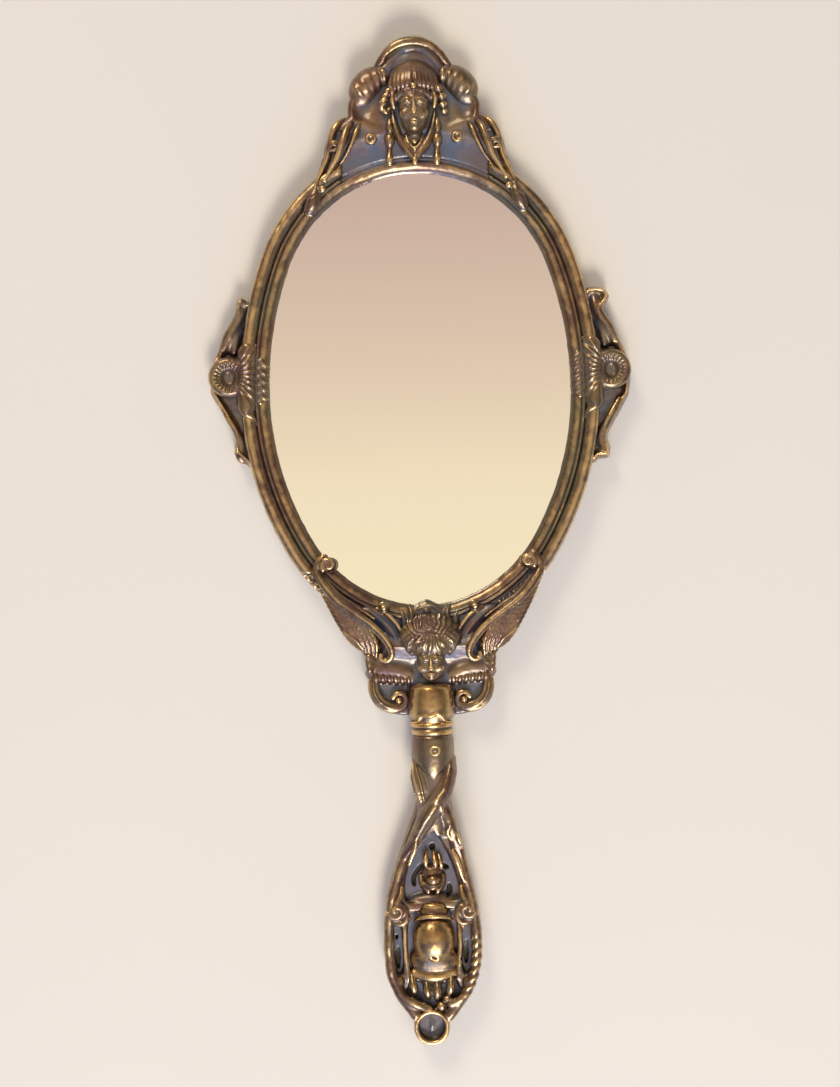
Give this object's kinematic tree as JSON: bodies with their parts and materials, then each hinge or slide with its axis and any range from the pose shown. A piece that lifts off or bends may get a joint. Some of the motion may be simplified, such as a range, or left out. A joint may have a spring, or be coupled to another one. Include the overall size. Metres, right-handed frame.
{
  "type": "hand mirror",
  "caption": "Oval hand mirror in ornate cast brass, with a masked crest, shell mounts at the sides, a cherub bracket and a pierced handle.",
  "frame": {"origin": "on the outer face of the back plate, behind the centre of the oval glass", "axes": "+Z out of the glass, +Y towards the crest, handle towards -Y, +X to the right as the mirror is looked into"},
  "size_m": [0.1396, 0.3297, 0.0165],
  "materials": {
    "mirror": "silvered float glass, polished",
    "card": "plain grey-brown board",
    "rim_brass": "cast, antiqued dark, highlights rubbed bright",
    "back_brass": "spun and brushed, antiqued",
    "ornament_brass": "cast, antiqued dark, highlights rubbed bright",
    "handle_brass": "cast, antiqued dark, highlights rubbed bright",
    "fastener_brass": "turned"
  },
  "bodies": {
    "root": {"back_plate": "back_brass", "back_plate_screws": "fastener_brass", "backing_card": "card", "bracket_leaf_left": "ornament_brass", "bracket_leaf_right": "ornament_brass", "bracket_plate": "ornament_brass", "bracket_screws": "fastener_brass", "bracket_scroll_left": "ornament_brass", "bracket_scroll_right": "ornament_brass", "cherub_head": "ornament_brass", "crest_balusters": "ornament_brass", "crest_curl_left": "ornament_brass", "crest_curl_right": "ornament_brass", "crest_hood": "ornament_brass", "crest_mask": "ornament_brass", "crest_plate": "ornament_brass", "crest_rivets": "fastener_brass", "crest_scroll_left": "ornament_brass", "crest_scroll_right": "ornament_brass", "end_cup": "handle_brass", "handle_knob": "handle_brass", "handle_leaf": "handle_brass", "handle_pin": "fastener_brass", "handle_shaft": "handle_brass", "handle_tang": "fastener_brass", "handle_vase": "handle_brass", "handle_volute_left": "handle_brass", "handle_volute_right": "handle_brass", "mirror_glass": "mirror", "neck_collar": "handle_brass", "neck_sleeve": "handle_brass", "rim_moulding": "rim_brass", "side_leaf_left": "ornament_brass", "side_leaf_right": "ornament_brass", "side_shell_left": "ornament_brass", "side_shell_right": "ornament_brass", "wing_left": "ornament_brass", "wing_right": "ornament_brass", "wing_strap_left": "ornament_brass", "wing_strap_right": "ornament_brass"}
  },
  "joints": []
}
